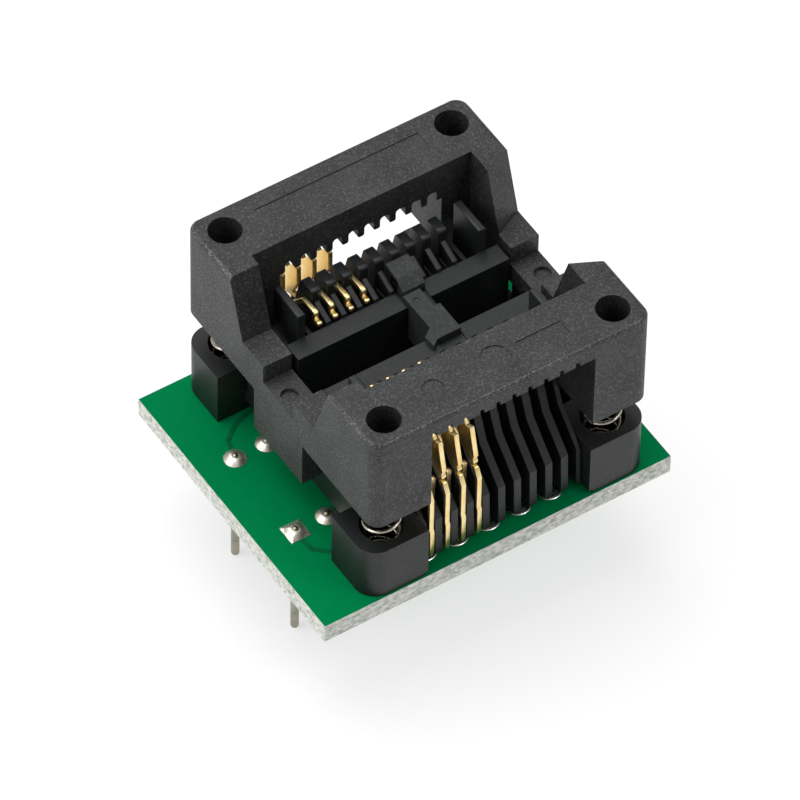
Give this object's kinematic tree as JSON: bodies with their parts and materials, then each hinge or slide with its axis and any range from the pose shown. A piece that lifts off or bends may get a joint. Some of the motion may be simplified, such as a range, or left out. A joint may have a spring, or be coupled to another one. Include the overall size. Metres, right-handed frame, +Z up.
{
  "type": "ic programmer adapter socket",
  "caption": "Open-top spring-loaded test socket on a small circuit board with header pins; pressing the black cover opens the gold contacts around a chip seat.",
  "frame": {"origin": "under the middle of the circuit board, level with the pin tips", "axes": "+X along the contact rows and away from the pins, +Y to the back row of contacts, +Z up through the cover's opening"},
  "size_m": [0.028, 0.0238, 0.026],
  "materials": {
    "black_moulding": "fine eroded texture, matte",
    "locator_moulding": "smooth, matte",
    "header_moulding": "satin",
    "solder_mask": "glossy green mask over glass fibre",
    "gold_plating": "bright gold plating",
    "tinned_copper": "tinned",
    "solder": "satin solder",
    "spring_wire": "drawn wire",
    "pin_plating": "tinned round pin"
  },
  "bodies": {
    "base": {"circuit_board": "solder_mask", "contact_stem_back_1": "gold_plating", "contact_stem_back_2": "gold_plating", "contact_stem_back_3": "gold_plating", "contact_stem_back_4": "gold_plating", "contact_stem_front_1": "gold_plating", "contact_stem_front_2": "gold_plating", "contact_stem_front_3": "gold_plating", "contact_stem_front_4": "gold_plating", "header_pin_1": "pin_plating", "header_pin_2": "pin_plating", "header_pin_3": "pin_plating", "header_pin_4": "pin_plating", "header_pin_5": "pin_plating", "header_pin_6": "pin_plating", "header_pin_7": "pin_plating", "header_pin_8": "pin_plating", "locator": "locator_moulding", "pin_header_back": "header_moulding", "pin_header_front": "header_moulding", "pin_pads": "tinned_copper", "pin_solder": "solder", "socket_base": "black_moulding", "socket_pads": "tinned_copper", "spring_1": "spring_wire", "spring_2": "spring_wire", "spring_3": "spring_wire", "spring_4": "spring_wire", "tail_solder": "solder"},
    "cover": {"cover": "black_moulding"},
    "front_contacts": {"contact_arm_front_1": "gold_plating", "contact_arm_front_2": "gold_plating", "contact_arm_front_3": "gold_plating", "contact_arm_front_4": "gold_plating"},
    "back_contacts": {"contact_arm_back_1": "gold_plating", "contact_arm_back_2": "gold_plating", "contact_arm_back_3": "gold_plating", "contact_arm_back_4": "gold_plating"}
  },
  "joints": [
    {"name": "cover_press", "type": "slide", "parent": "base", "child": "cover", "axis": [0, 0, -1], "range_m": [0, 0.0024], "stiffness_N_per_m": 2000, "springref_m": -0.002, "deforming": ["spring_1", "spring_2", "spring_3", "spring_4"]},
    {"name": "front_contact_tilt", "type": "hinge", "parent": "base", "child": "front_contacts", "pos_m": [0.00088, -0.00995, 0.01745], "axis": [1, 0, 0], "range_deg": [0, 10]},
    {"name": "back_contact_tilt", "type": "hinge", "parent": "base", "child": "back_contacts", "pos_m": [0.00088, 0.00995, 0.01745], "axis": [-1, 0, 0], "range_deg": [0, 10]}
  ],
  "couplings": [
    {"joint": "front_contact_tilt", "follows": "cover_press", "rad_per_m": 72},
    {"joint": "back_contact_tilt", "follows": "cover_press", "rad_per_m": 72}
  ]
}
